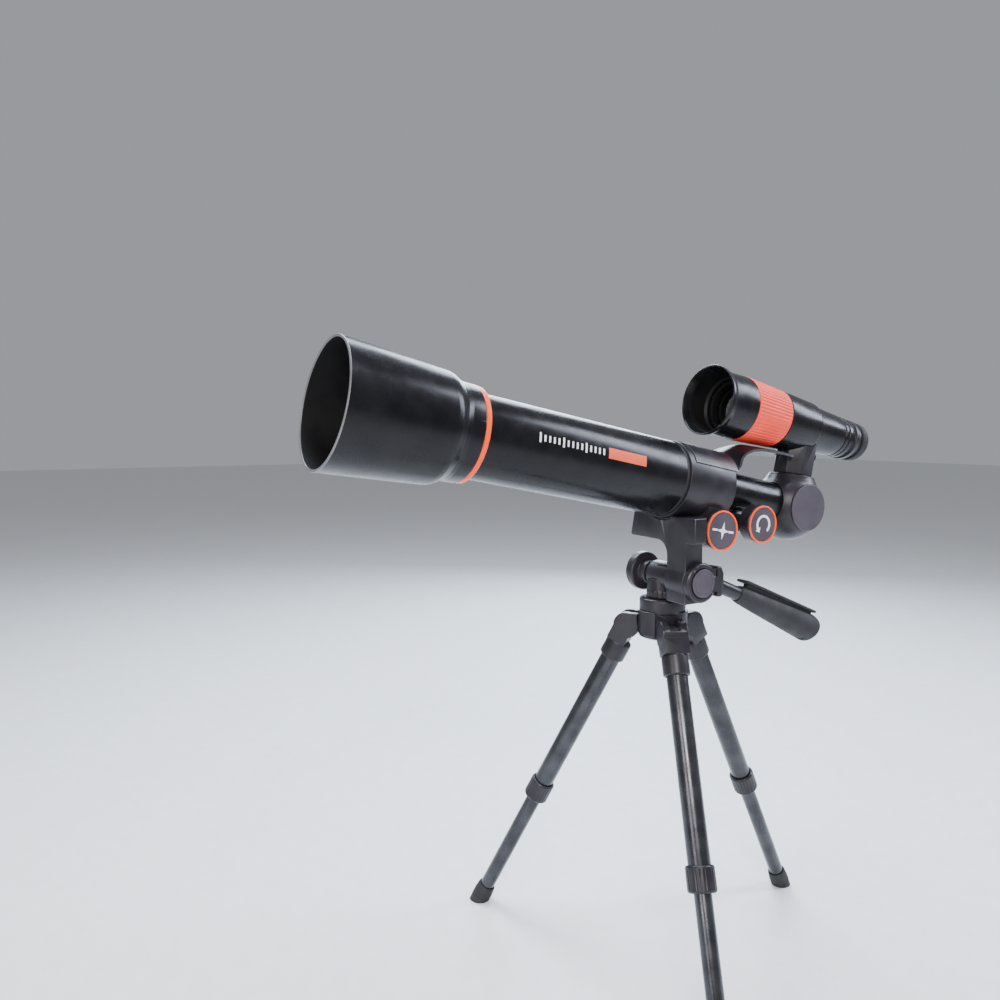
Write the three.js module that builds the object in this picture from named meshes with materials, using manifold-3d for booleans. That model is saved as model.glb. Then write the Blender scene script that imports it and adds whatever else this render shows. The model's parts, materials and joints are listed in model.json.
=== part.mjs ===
// A table-top telescope on a small tripod, in millimetres, +Z up.
// The telescope looks along -Y, the handle and the badges are on its +X side, and the feet
// stand on z = 0.
// Stations along the optical axis are called s: they count forward (towards the front lens)
// from the middle of the focuser, so s is the negative of the local Y coordinate.
import * as THREE from 'three';
import { mergeVertices } from 'three/addons/utils/BufferGeometryUtils.js';
import Module from 'manifold-3d';

const wasm = await Module();
wasm.setup();

// ---------------------------------------------------------------- driving dimensions
const GAP = 0.3; // clearance between neighbouring pieces
const ROUND = { large: 36, medium: 24, small: 16, tiny: 10 }; // sides of round pieces
const ELEVATION = THREE.MathUtils.degToRad(11.35); // the tube points up by this much
const ROW_SHIFT = { x: 3.4, y: 38.6 }; // puts the footprint's centre at x = y = 0

// main tube and front end
const TUBE = { r: 23, wall: 1.4, front: 173, rear: 20.3 };
const HOOD = {
  mouth: 234.5, mouthR: 33.7, shoulder: 175.5, shoulderR: 30.05, neck: 159, neckR: 26.3, wall: 1.5,
};
const BAND = { front: 158.7, rear: 155.6, r: 26.05 };
const OBJECTIVE = { r: 24.9, rear: 177.8, edge: 2, sag: 3 };

// focuser housing
const HOUSING = { r: 23.4, inner: 21, front: 17.4, rear: -20.3 };
const BOSS = { s: -12.9, u: -25.4, r: 12, half: 23.3 };
const BADGE = { ringR: 12.3, ringInner: 11.2, discR: 10.9, thick: 1.1 };
const PINION = { s: -45.5, u: -16.9, pitchR: 3, teeth: 10, shaftR: 2, half: 20 };
const KNOB = { r: 11.7, inner: 13.8, outer: 23.8, ringInner: 10.6, discR: 10.3 };
const ARM = { inner: 6.8, outer: 10.6 };
const RACK = { front: -27, rear: -55, half: 2.6 };

// sliding carriage: drawtube, elbow, tower and the upper viewer
const DRAW = { r: 13, wall: 1.4, front: 12, rear: -76 };
const ELBOW = { s: -92, r: 23, half: 17, top: 20.5, portR: 13.6 };
const TOWER = { r: 13.2, boreR: 10.2 };
const VIEW_U = 53.7; // height of the viewer's axis above the tube's axis
const EYELET = { y: 109, u: 36.2 };
const BELL = { mouth: -5.7, rimR: 22.3, rear: -30.7, r: 20.5 };
const GRIP_RING = { front: -31.1, rear: -63.1, frontR: 20.7, rearR: 19 };
const VIEWER = {
  front: -63.5, frontR: 19, step: -93.7, stepR: 17.4, rear: -131.3, rearR: 13.7, spigotR: 16.6,
  boreR: 14.2, tailR: 12.2,
};
const SADDLE = { outer: 23.9, inner: 22.7, front: 13, half: 60 };

// tripod head, measured from the tube's reference point in the upright frame
const PLATE = { half: 29.2, front: -18.8, rear: -5.2, top: -18.5, bottom: -33.9 };
const MOUNT_SCREW = { r: 2.95, holeR: 3.3, headR: 5.4, pocketR: 5.8, top: -13.4 };
const COLUMN = { left: 5, right: 21.6, bottom: -70.5, fillet: 9 };
const TILT = { y: -9, z: -57.5, boltR: 4, knuckleR: 11.8 };
const PAN = { x: -9, y: -9.1 };
const NECK = { r: 10.1, bottom: -71.2 };
const HUB = { ringR: 14.3, ringBottom: -79.2, r: 15.6, bottom: -96.7 };
const HANDLE = { x: 18, rise: 4, shaftR: 4.4, root: 14.5, grip: 42.7, end: 114 };
const HANDLE_PITCH = THREE.MathUtils.degToRad(22.5);
const GRIP = { startR: 5.9, endR: 9.5, drop: 2.5, railLow: 8, railHigh: 9.8 };

// legs
const LEG = {
  pivotR: 21.5, pivotZ: -90.5, length: 236, tubeR: 6.4, lowerR: 4.9, wall: 1.2, upperEnd: -138,
};
const KNUCKLE = { r: 8.3, half: 8, slotHalf: 3.5, socketR: 8.1, socketEnd: -25 };
const SPLAY = THREE.MathUtils.degToRad(27);
const LEG_HEADINGS = { front: -25, rear: 95, far: -145 };
const FLOOR = LEG.pivotZ - LEG.length * Math.cos(SPLAY);

// ---------------------------------------------------------------- colours
const FINISHES = {
  black: { color: 0x17181b, roughness: 0.38, metalness: 0.0 },
  satin: { color: 0x232428, roughness: 0.5, metalness: 0.0 },
  face: { color: 0x3a363b, roughness: 0.55, metalness: 0.0 },
  orange: { color: 0xf0562a, roughness: 0.42, metalness: 0.0 },
  red: { color: 0xe24a35, roughness: 0.5, metalness: 0.0 },
  rubber: { color: 0x121214, roughness: 0.85, metalness: 0.0 },
  metal: { color: 0x3b3d42, roughness: 0.32, metalness: 0.85 },
  steel: { color: 0x9a9ca0, roughness: 0.3, metalness: 0.95 },
  brass: { color: 0xb08a3e, roughness: 0.35, metalness: 0.9 },
  glass: { color: 0xc9d8e6, roughness: 0.05, metalness: 0.0, transparent: true, opacity: 0.35 },
  mirror: { color: 0xe6e8ea, roughness: 0.04, metalness: 1.0 },
};

// ---------------------------------------------------------------- solids and cuts
function signedVolume(position, index) {
  const [a, b, c] = [new THREE.Vector3(), new THREE.Vector3(), new THREE.Vector3()];
  let total = 0;
  for (let i = 0; i < index.length; i += 3) {
    a.fromArray(position, index[i] * 3);
    b.fromArray(position, index[i + 1] * 3);
    c.fromArray(position, index[i + 2] * 3);
    total += a.dot(b.cross(c));
  }
  return total / 6;
}

// A closed solid with merged corners, no collapsed triangles and outward faces.
function toSolid(geometry) {
  const bare = geometry.clone();
  bare.deleteAttribute('normal');
  bare.deleteAttribute('uv');
  const merged = mergeVertices(bare, 1e-4);
  const position = Float32Array.from(merged.attributes.position.array);
  const kept = [];
  const index = merged.index.array;
  for (let i = 0; i < index.length; i += 3) {
    const [a, b, c] = [index[i], index[i + 1], index[i + 2]];
    if (a !== b && b !== c && c !== a) kept.push(a, b, c);
  }
  if (signedVolume(position, kept) < 0) kept.reverse();
  const mesh = new wasm.Mesh({ numProp: 3, vertProperties: position, triVerts: Uint32Array.from(kept) });
  return new wasm.Manifold(mesh);
}

function toGeometry(solid) {
  const mesh = solid.getMesh();
  const geometry = new THREE.BufferGeometry();
  geometry.setAttribute('position', new THREE.BufferAttribute(Float32Array.from(mesh.vertProperties), 3));
  geometry.setIndex(new THREE.BufferAttribute(Uint32Array.from(mesh.triVerts), 1));
  return geometry;
}

const join = (first, ...rest) =>
  toGeometry(rest.reduce((sum, g) => sum.add(toSolid(g)), toSolid(first)));
const cut = (first, ...rest) =>
  toGeometry(rest.reduce((sum, g) => sum.subtract(toSolid(g)), toSolid(first)));
const common = (first, ...rest) =>
  toGeometry(rest.reduce((sum, g) => sum.intersect(toSolid(g)), toSolid(first)));

// ---------------------------------------------------------------- shapes
// A turned piece about the optical axis. Stations are [s, radius]. A profile that doesn't
// start on the axis closes on itself.
function turned(stations, segments = ROUND.medium) {
  const points = stations.map(([s, r]) => new THREE.Vector2(r, -s));
  if (stations[0][1] > 0) points.push(points[0].clone());
  return new THREE.LatheGeometry(points, segments);
}

const raised = (geometry, u) => geometry.translate(0, 0, u);

// A turned piece about an axis along X, through (y, z). Stations are [x, radius].
const turnedX = (stations, y, z, segments = ROUND.small) =>
  turned(stations.map(([x, r]) => [-x, r]), segments).rotateZ(-Math.PI / 2).translate(0, y, z);

// A turned piece about a vertical axis through (x, y). Stations are [z, radius].
const turnedZ = (stations, x = 0, y = 0, segments = ROUND.small) =>
  turned(stations.map(([z, r]) => [-z, r]), segments).rotateX(Math.PI / 2).translate(x, y, 0);

const rod = (r, from, to) => [[from, 0], [from, r], [to, r], [to, 0]];
const pipe = (outer, inner, from, to) => [[from, inner], [from, outer], [to, outer], [to, inner]];
const barX = (r, from, to, y, z, segments = ROUND.small) => turnedX(rod(r, from, to), y, z, segments);
const barZ = (r, from, to, x = 0, y = 0, segments = ROUND.small) => turnedZ(rod(r, from, to), x, y, segments);

function block(x0, x1, y0, y1, z0, z1) {
  return new THREE.BoxGeometry(x1 - x0, y1 - y0, z1 - z0)
    .translate((x0 + x1) / 2, (y0 + y1) / 2, (z0 + z1) / 2);
}

// A block given by stations along the optical axis instead of Y.
const blockS = (x0, x1, s0, s1, u0, u1) => block(x0, x1, -s1, -s0, u0, u1);

// A side-on outline of [s, u] points, extruded along X from x0 to x1.
function sideOutline(points, x0, x1) {
  const shape = new THREE.Shape(points.map(([s, u]) => new THREE.Vector2(-s, u)));
  return new THREE.ExtrudeGeometry(shape, { depth: x1 - x0, bevelEnabled: false })
    .rotateY(Math.PI / 2).rotateX(Math.PI / 2).translate(x0, 0, 0);
}

// ---------------------------------------------------------------- scene graph
const object = new THREE.Group();
const upright = new THREE.Group(); // the frame of the tripod head, origin at the tube's reference point
const telescope = new THREE.Group(); // the same origin, tipped up by the elevation
upright.position.set(ROW_SHIFT.x, ROW_SHIFT.y, -FLOOR);
telescope.rotation.x = -ELEVATION;
upright.add(telescope);
object.add(upright);

function add(parent, name, geometry, finish) {
  const solid = toGeometry(toSolid(geometry)).toNonIndexed();
  solid.computeVertexNormals();
  const mesh = new THREE.Mesh(solid, new THREE.MeshStandardMaterial(FINISHES[finish]));
  mesh.name = name;
  parent.add(mesh);
}

// ---------------------------------------------------------------- front end
function dewShield() {
  const { mouth, mouthR, shoulder, shoulderR, neck, neckR, wall } = HOOD;
  const bore = TUBE.r + GAP;
  const seat = shoulderR - wall - 0.15;
  const ledge = TUBE.front + GAP;
  return turned([
    [neck, bore], [neck, neckR], [neck + 7.5, neckR + 0.2], [neck + 10.5, neckR + 0.9],
    [neck + 13, neckR + 2.2], [shoulder - 1.6, shoulderR - 0.5], [shoulder, shoulderR],
    [mouth - 1, mouthR - 0.1], [mouth - 0.4, mouthR], [mouth, mouthR - 0.4], [mouth, mouthR - wall],
    [shoulder, seat], [shoulder - 0.3, TUBE.r - TUBE.wall], [ledge, TUBE.r - TUBE.wall], [ledge, bore],
  ], ROUND.large);
}

function frontEnd() {
  const { r, rear, edge, sag } = OBJECTIVE;
  const front = rear + edge;
  const dome = [0, 0.35, 0.7, 1].map((t) => [front + sag * (1 - t * t), r * t]);
  const cellRear = HOOD.shoulder + 0.1;
  add(telescope, 'dew_shield', dewShield(), 'black');
  add(telescope, 'trim_band', turned([
    [BAND.rear, TUBE.r + GAP], [BAND.rear, BAND.r - 0.4], [BAND.rear + 0.5, BAND.r],
    [BAND.front - 0.5, BAND.r], [BAND.front, BAND.r - 0.4], [BAND.front, TUBE.r + GAP],
  ], ROUND.large), 'orange');
  add(telescope, 'objective_cell', turned([
    [cellRear, 22.5], [cellRear, 28.05], [cellRear + 7, 28.05], [cellRear + 7, r + GAP],
    [rear - GAP, r + GAP], [rear - GAP, 22.5],
  ]), 'black');
  add(telescope, 'objective_lens', turned([...dome, [rear, r], [rear, 0]]), 'glass');
  const tube = pipe(TUBE.r, TUBE.r - TUBE.wall, TUBE.rear, TUBE.front);
  add(telescope, 'main_tube', turned(tube, ROUND.large), 'black');
}

// ---------------------------------------------------------------- focuser housing
function housingBody() {
  const { r, inner, front, rear } = HOUSING;
  const bore = DRAW.r + 0.4;
  const spigot = TUBE.r - TUBE.wall - GAP;
  const barrel = turned([
    [front + 14, spigot], [front, spigot], [front, r], [rear + 1, r], [rear, r - 0.8], [rear, bore],
    [rear + 4, bore], [rear + 4, inner], [front - 3, inner], [front - 3, spigot - 1.5],
    [front + 14, spigot - 1.5],
  ], ROUND.large);
  const boss = barX(BOSS.r, -BOSS.half, BOSS.half, -BOSS.s, BOSS.u, ROUND.medium);
  const web = blockS(-20, 20, BOSS.s - 7, BOSS.s + 10, BOSS.u, -12);
  const arms = [-1, 1].map((side) => {
    const [near, far] = [ARM.inner * side, ARM.outer * side].sort((a, b) => a - b);
    const plate = blockS(near, far, PINION.s, BOSS.s, PINION.u - 4.3, PINION.u + 4.3);
    return join(plate, barX(4.3, near, far, -PINION.s, PINION.u));
  });
  const floor = blockS(-ARM.outer, ARM.outer, PINION.s - 1, BOSS.s, PINION.u - 6.3, PINION.u - 4.2);
  const hollow = turned([
    [front + 20, 0], [front + 20, spigot - 1.5], [front - 3, spigot - 1.5], [front - 3, inner],
    [rear + 4, inner], [rear + 4, bore], [PINION.s - 10, bore], [PINION.s - 10, 0],
  ], ROUND.large);
  const shaftHole = barX(PINION.shaftR + GAP, -BOSS.half, BOSS.half, -PINION.s, PINION.u);
  return cut(join(barrel, boss, web, ...arms, floor), hollow, shaftHole);
}

// The saddle's sliding recess over the top of the housing.
function saddleSector(outer, inner, front, rear, half) {
  const shell = turned(pipe(outer, inner, rear, front), 72);
  const reach = outer + 10;
  const side = Math.tan(THREE.MathUtils.degToRad(half)) * reach;
  const corners = [[0, 0], [side, reach], [-side, reach]];
  const wedge = new THREE.Shape(corners.map(([x, z]) => new THREE.Vector2(x, z)));
  const sector = new THREE.ExtrudeGeometry(wedge, { depth: front - rear + 2, bevelEnabled: false })
    .rotateX(Math.PI / 2).translate(0, 1 - rear, 0);
  return common(shell, sector);
}

function housingShells() {
  const { inner, front, half } = SADDLE;
  const recess = saddleSector(HOUSING.r + 2, inner - GAP, front + GAP, HOUSING.rear - 1, half + 1);
  const mountHole = mountBar(MOUNT_SCREW.holeR, -40, -5);
  const body = cut(housingBody(), recess, mountHole);
  const wide = 60;
  const nearSide = block(GAP / 2, wide, -wide, wide, -wide, wide);
  const farSide = block(-wide, -GAP / 2, -wide, wide, -wide, wide);
  add(telescope, 'focuser_shell_near', common(body, nearSide), 'satin');
  add(telescope, 'focuser_shell_far', common(body, farSide), 'satin');
}

function focuser() {
  housingShells();
  const seam = pipe(22.5, TUBE.r - TUBE.wall, HOUSING.front + GAP, TUBE.rear - GAP);
  add(telescope, 'seam_ring', turned(seam, ROUND.large), 'rubber');
  const face = BOSS.half + GAP;
  const disc = rod(BADGE.discR, face, face + BADGE.thick);
  const ring = pipe(BADGE.ringR, BADGE.ringInner, face, face + BADGE.thick + 0.3);
  add(telescope, 'badge_disc', turnedX(disc, -BOSS.s, BOSS.u, ROUND.medium), 'face');
  add(telescope, 'badge_ring', turnedX(ring, -BOSS.s, BOSS.u, ROUND.medium), 'orange');
}

// ---------------------------------------------------------------- focus knobs, pinion and rack
const TOOTH = {
  pitch: (2 * Math.PI * PINION.pitchR) / PINION.teeth, up: 0.5, down: 0.75, tip: 0.24, root: 0.5,
};

function pinionGear() {
  const { pitchR, teeth } = PINION;
  const shape = new THREE.Shape();
  const step = (2 * Math.PI) / teeth;
  const at = (radius, offset, i) => {
    const angle = i * step + offset / radius + Math.PI / 2;
    return new THREE.Vector2(radius * Math.cos(angle), radius * Math.sin(angle));
  };
  const outline = [];
  for (let i = 0; i < teeth; i++) {
    const rootR = pitchR - TOOTH.down;
    const tipR = pitchR + TOOTH.up;
    outline.push(at(rootR, -TOOTH.root, i), at(tipR, -TOOTH.tip, i));
    outline.push(at(tipR, TOOTH.tip, i), at(rootR, TOOTH.root, i));
  }
  shape.setFromPoints(outline);
  return new THREE.ExtrudeGeometry(shape, { depth: 5, bevelEnabled: false })
    .translate(0, 0, -2.5).rotateY(Math.PI / 2).rotateX(Math.PI / 2).translate(0, -PINION.s, PINION.u);
}

// The rack's spaces line up with the pinion's top tooth at rest.
function rack() {
  const pitchLine = PINION.u + PINION.pitchR;
  const base = blockS(-RACK.half, RACK.half, RACK.rear, RACK.front, pitchLine + TOOTH.down, -11.9);
  const teeth = [];
  for (let s = PINION.s + TOOTH.pitch * 9.5; s > RACK.rear + 1; s -= TOOTH.pitch) {
    if (s > RACK.front - 1) continue;
    const low = pitchLine - TOOTH.up;
    const high = pitchLine + TOOTH.down + 0.1;
    const tooth = [[s - TOOTH.root, high], [s - TOOTH.tip, low], [s + TOOTH.tip, low], [s + TOOTH.root, high]];
    teeth.push(sideOutline(tooth, -RACK.half, RACK.half));
  }
  return join(base, ...teeth);
}

function focusKnob(side) {
  const { r, inner, outer } = KNOB;
  const socket = PINION.half + GAP;
  const stations = [[socket, 0], [socket, PINION.shaftR + GAP], [inner, PINION.shaftR + GAP], [inner, r - 3],
    [inner + 0.7, r - 1.3], [inner + 2.4, r], [outer - 0.6, r], [outer, r - 0.5], [outer, 0]];
  return turnedX(stations.map(([x, radius]) => [x * side, radius]), -PINION.s, PINION.u, ROUND.medium);
}

function focusDrive() {
  const [y, z] = [-PINION.s, PINION.u];
  const face = KNOB.outer + GAP;
  const shaft = barX(PINION.shaftR, -PINION.half, PINION.half, y, z);
  add(telescope, 'pinion_shaft', join(shaft, pinionGear()), 'steel');
  add(telescope, 'focus_knob_near', focusKnob(1), 'satin');
  add(telescope, 'focus_knob_far', focusKnob(-1), 'satin');
  const ring = pipe(KNOB.r, KNOB.ringInner, face, face + 1.2);
  add(telescope, 'knob_disc', turnedX(rod(KNOB.discR, face, face + 0.9), y, z, ROUND.medium), 'face');
  add(telescope, 'knob_ring', turnedX(ring, y, z, ROUND.medium), 'orange');
}

// ---------------------------------------------------------------- drawtube, elbow and tower
function drawtube() {
  const tube = turned(pipe(DRAW.r, DRAW.r - DRAW.wall, DRAW.rear, DRAW.front));
  const slot = blockS(-RACK.half - GAP, RACK.half + GAP, RACK.rear - GAP, RACK.front + GAP, -15, -9);
  return cut(tube, slot);
}

function elbow() {
  const { s, r, half, top, portR } = ELBOW;
  const ball = new THREE.SphereGeometry(r, 40, ROUND.small).rotateZ(Math.PI / 2).translate(0, -s, 0);
  const collar = barZ(14.6, 14, top, 0, -s, ROUND.medium);
  const drum = common(join(ball, collar), block(-half, half, -s - 40, -s + 40, -40, top));
  const sidePort = barX(portR, -half - 1, half + 1, -s, 0, ROUND.medium);
  const frontPort = turned(rod(DRAW.r + GAP, DRAW.rear - GAP, -50));
  const throat = turned(rod(DRAW.r - DRAW.wall, s, -60));
  const topPort = barZ(TOWER.boreR, 0, top + 5, 0, -s, ROUND.small);
  return cut(drum, sidePort, frontPort, throat, topPort);
}

function mirrorPlate(halfWidth, halfLength, s, u) {
  return block(-halfWidth, halfWidth, -halfLength, halfLength, -0.8, 0.8)
    .rotateX(Math.PI / 4).translate(0, -s, u);
}

function tower() {
  const column = new THREE.CylinderGeometry(TOWER.r, TOWER.r, 30, 8)
    .rotateY(Math.PI / 8).rotateX(Math.PI / 2).translate(0, -ELBOW.s, ELBOW.top + GAP + 15);
  const bore = barZ(TOWER.boreR, 0, VIEW_U, 0, -ELBOW.s, ROUND.small);
  const cradle = raised(turned(viewerOutline(GAP), ROUND.medium), VIEW_U);
  return cut(column, bore, cradle);
}

// The viewer's outer shape grown by a margin, as one solid profile.
function viewerOutline(margin) {
  const { front, frontR, step, stepR, rear, rearR } = VIEWER;
  return [[front + 30, 0], [front + 30, frontR + margin + 1], [front, frontR + margin], [step, stepR + margin],
    [step - 1.8, stepR - 1.5 + margin], [rear, rearR + margin], [rear, 0]];
}

// ---------------------------------------------------------------- arch between housing and viewer
function arch() {
  const { outer, inner, front } = SADDLE;
  const wallFront = HOUSING.rear - GAP;
  const wallRear = wallFront - 5.9;
  const saddle = saddleSector(outer, inner, front, wallRear, SADDLE.half);
  const round = turned(rod(outer, wallRear - 1, wallFront + 1), ROUND.large);
  const wall = common(blockS(-17, 17, wallRear, wallFront, 9, 24), round);
  const tongue = sideOutline([
    [wallFront, 21], [wallFront, 23.8], [-25.5, 25], [-31.8, 28.3], [-35.8, 30.5], [-40.5, 32.1], [-50, 32.7],
    [-62, 33.6], [-78, 34.2], [-78, 32.2], [-57, 31], [-46, 29.9], [-37, 27.6], [-30, 24.2], [wallRear, 20],
  ], -11, 11);
  const drawClear = turned(rod(DRAW.r + GAP, -60, 20));
  const viewerClear = raised(turned(viewerOutline(GAP), ROUND.medium), VIEW_U);
  const towerClear = new THREE.CylinderGeometry(TOWER.r + GAP, TOWER.r + GAP, 60, 8)
    .rotateY(Math.PI / 8).rotateX(Math.PI / 2).translate(0, -ELBOW.s, 30);
  return cut(join(saddle, wall, tongue), drawClear, viewerClear, towerClear);
}

function carriage() {
  add(telescope, 'drawtube', drawtube(), 'black');
  add(telescope, 'focus_rack', rack(), 'steel');
  add(telescope, 'elbow_housing', elbow(), 'satin');
  const face = ELBOW.half + GAP;
  for (const [name, side] of [['elbow_cap_near', 1], ['elbow_cap_far', -1]]) {
    const stations = [[face, 0], [face, 15.4], [face + 0.9, 15.4], [face + 1.3, 15], [face + 1.3, 0]];
    add(telescope, name, turnedX(stations.map(([x, r]) => [x * side, r]), -ELBOW.s, 0, ROUND.medium), 'face');
  }
  add(telescope, 'elbow_mirror', mirrorPlate(11.5, 12, ELBOW.s, 0), 'mirror');
  add(telescope, 'tower', tower(), 'satin');
  add(telescope, 'arch_bracket', arch(), 'satin');
}

// ---------------------------------------------------------------- upper viewer
function viewerBody() {
  const { front, frontR, step, stepR, rear, rearR, spigotR, boreR, tailR } = VIEWER;
  const shell = turned([
    [-24.5, boreR], [-24.5, spigotR], [front, spigotR], [front, frontR], [step, stepR],
    [step - 1.8, stepR - 1.5], [rear, rearR], [rear, tailR], [step - 12, tailR], [step - 4, boreR],
  ], ROUND.large);
  const port = barZ(TOWER.boreR, -VIEW_U, 0, 0, -ELBOW.s, ROUND.small);
  const eyelet = new THREE.TorusGeometry(2.5, 0.8, 6, 12).rotateY(Math.PI / 2)
    .translate(0, EYELET.y, EYELET.u - VIEW_U);
  return raised(join(cut(shell, port), eyelet), VIEW_U);
}

function bellHood() {
  const { mouth, rimR, rear, r } = BELL;
  return raised(turned([
    [mouth - 17.5, VIEWER.spigotR + GAP], [mouth - 16, r - 2], [mouth - 5, r - 1.3], [mouth - 0.6, rimR - 1.2],
    [mouth, rimR - 0.7], [mouth - 0.5, rimR], [mouth - 2.2, rimR - 0.2], [mouth - 6, r - 0.3], [rear, r + 0.1],
    [rear, VIEWER.spigotR + GAP],
  ], ROUND.large), VIEW_U);
}

function viewer() {
  const ring = GRIP_RING;
  add(telescope, 'viewer_body', viewerBody(), 'black');
  add(telescope, 'bell_hood', bellHood(), 'black');
  add(telescope, 'grip_ring', raised(turned([
    [ring.rear, VIEWER.spigotR + GAP], [ring.rear, ring.rearR - 0.4], [ring.rear + 0.5, ring.rearR],
    [ring.front - 0.5, ring.frontR], [ring.front, ring.frontR - 0.4], [ring.front, VIEWER.spigotR + GAP],
  ], ROUND.large), VIEW_U), 'red');
  add(telescope, 'finder_cell', raised(turned([
    [-30, 12.4], [-30, 13.9], [-38, 13.9], [-38, 11], [-36.4, 11], [-36.4, 12.4],
  ]), VIEW_U), 'black');
  add(telescope, 'finder_lens', raised(turned([
    [-32.4, 0], [-33, 6], [-34.6, 12.1], [-36, 12.1], [-36, 0],
  ]), VIEW_U), 'glass');
  add(telescope, 'fold_mirror', mirrorPlate(8, 9, ELBOW.s, VIEW_U), 'mirror');
  add(telescope, 'eye_tube', raised(turned([
    [-123, 9.8], [-123, 11.9], [-131.6, 11.9], [-131.6, 12.5], [-133.8, 12.5], [-134.1, 13.9], [-137.3, 13.7],
    [-137.6, 12.3], [-141.7, 12.2], [-141.7, 8.6], [-138.4, 8.6], [-138.4, 9.8],
  ]), VIEW_U), 'satin');
  add(telescope, 'eye_lens', raised(turned([
    [-132.6, 0], [-133.2, 5], [-134.4, 9.5], [-136.2, 9.5], [-137.4, 5], [-138, 0],
  ], ROUND.medium), VIEW_U), 'glass');
  add(telescope, 'eyecup', raised(turned([
    [-142, 8.6], [-142, 13.4], [-146.5, 13.2], [-148, 12.6], [-148.6, 11.6], [-148.6, 10], [-147.4, 9],
    [-143.4, 8.4],
  ]), VIEW_U), 'rubber');
}

// ---------------------------------------------------------------- tripod head
// The mounting screw is upright, through the middle of the platform.
const MOUNT_Y = (PLATE.front + PLATE.rear) / 2;
function mountBar(r, z0, z1) {
  return barZ(r, z0, z1, 0, MOUNT_Y, ROUND.small).rotateX(ELEVATION);
}

// The round body of the telescope as it lies over the platform.
function lyingTube(r) {
  return turned(rod(r, -80, 80), ROUND.large).rotateX(-ELEVATION);
}

function tiltBracket() {
  const { half, front, rear, top, bottom } = PLATE;
  const { left, right, bottom: foot, fillet } = COLUMN;
  const outline = new THREE.Shape();
  outline.moveTo(-half + 3, top);
  outline.lineTo(-half, bottom + 1.5);
  outline.quadraticCurveTo(-half, bottom, -half + 1.5, bottom);
  outline.lineTo(left - fillet, bottom);
  outline.absarc(left - fillet, bottom - fillet, fillet, Math.PI / 2, 0, true);
  outline.lineTo(left, foot);
  outline.lineTo(right, foot);
  outline.lineTo(right, bottom);
  outline.lineTo(half - 1, bottom);
  outline.lineTo(half, bottom + 1);
  outline.lineTo(half, top);
  const thickness = { depth: rear - front, bevelEnabled: false, curveSegments: 6 };
  const bar = new THREE.ExtrudeGeometry(outline, thickness)
    .rotateX(Math.PI / 2).translate(0, rear, 0);
  const knuckle = barX(TILT.knuckleR, left, right, TILT.y, TILT.z, ROUND.medium);
  const boltHole = barX(TILT.boltR + GAP, left - 1, right + 1, TILT.y, TILT.z);
  const screwHole = barZ(MOUNT_SCREW.holeR, bottom - 1, top, 0, MOUNT_Y);
  const counterbore = barZ(MOUNT_SCREW.pocketR, bottom - 1, bottom + 4.6, 0, MOUNT_Y);
  const corners = [-1, 1].map((side) => block(-5, 5, -5, 5, bottom - 1, top + 1)
    .rotateZ(Math.PI / 4).translate(side * (half + 1), rear + 1, 0));
  return cut(join(bar, knuckle), lyingTube(HOUSING.r + 1.6), boltHole, screwHole, counterbore, ...corners);
}

function platformPad() {
  const shell = cut(lyingTube(HOUSING.r + 1.3), lyingTube(HOUSING.r + GAP));
  const slab = block(-11, 11, PLATE.front + 0.4, PLATE.rear - 0.4, -40, PLATE.top - 0.3);
  return cut(common(shell, slab), barZ(MOUNT_SCREW.holeR, -40, 0, 0, MOUNT_Y));
}

// Points along the handle's own axis: a distance from its root and a height above the axis.
function alongHandle(geometry) {
  return geometry.rotateX(-HANDLE_PITCH).translate(HANDLE.x, TILT.y, TILT.z + HANDLE.rise);
}

function clampCollar() {
  const face = COLUMN.right + GAP;
  const disc = turnedX([
    [face, TILT.boltR + GAP], [face, 12], [face + 3.4, 12], [face + 4.4, 11], [face + 4.4, 9], [face + 1.6, 9],
    [face + 1.6, TILT.boltR + GAP],
  ], TILT.y, TILT.z, ROUND.medium);
  const corners = [[12.2, -9.5], [15.5, -9.5], [17, -7], [17, 4.5], [14.8, 9], [12.2, 9]];
  const lug = sideOutline(corners.map(([y, z]) => [-(TILT.y + y), TILT.z + z]), HANDLE.x - 6, face + 4.4);
  const bridge = block(face, face + 4.4, TILT.y + 6, TILT.y + 14, TILT.z - 6, TILT.z + 8);
  const recess = barX(9, face + 1.6, face + 10, TILT.y, TILT.z, ROUND.medium);
  const socket = alongHandle(turned(rod(HANDLE.shaftR + GAP, -HANDLE.end, -HANDLE.root + GAP), ROUND.small));
  const slit = block(face - 10, face + 6, TILT.y + 10.4, TILT.y + 11.4, TILT.z + 3, TILT.z + 12);
  return cut(join(disc, bridge, lug), recess, socket, slit);
}

// The bar of the handle, from the clamp's socket into the grip.
const handleShaft = () =>
  alongHandle(turned(rod(HANDLE.shaftR, -HANDLE.end + 40, -HANDLE.root), ROUND.small));

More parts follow.
